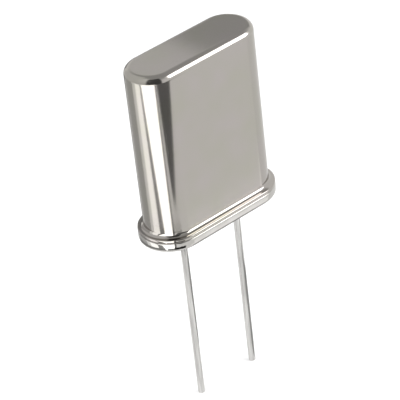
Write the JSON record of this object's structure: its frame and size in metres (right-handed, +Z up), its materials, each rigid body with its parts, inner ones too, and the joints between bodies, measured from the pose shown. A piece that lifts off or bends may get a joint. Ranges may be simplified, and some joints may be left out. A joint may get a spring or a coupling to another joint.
{
  "type": "crystal oscillator",
  "caption": "Quartz crystal unit for setting a circuit's frequency: a tall oval metal can welded to a flanged base, with thin wire leads through glass seals.",
  "frame": {"origin": "centre of the base's flat underside, the seating plane, midway between the leads", "axes": "+Z up through the can, leads along -Z; X along the row of leads and the can's length; Y through the can's thickness"},
  "size_m": [0.011, 0.0046, 0.027],
  "materials": {
    "can_nickel": "satin",
    "base_nickel": "satin",
    "tinned_wire": "satin",
    "seal_glass": "gloss",
    "clip_metal": "satin",
    "quartz": "polished",
    "electrode_silver": "satin",
    "silver_cement": "matte"
  },
  "bodies": {
    "root": {"can": "can_nickel", "base": "base_nickel", "glass_seal_left": "seal_glass", "glass_seal_right": "seal_glass", "lead_left": "tinned_wire", "lead_right": "tinned_wire", "clip_left": "clip_metal", "clip_right": "clip_metal", "quartz_blank": "quartz", "electrode_front": "electrode_silver", "electrode_back": "electrode_silver", "cement_left": "silver_cement", "cement_right": "silver_cement"}
  },
  "joints": []
}
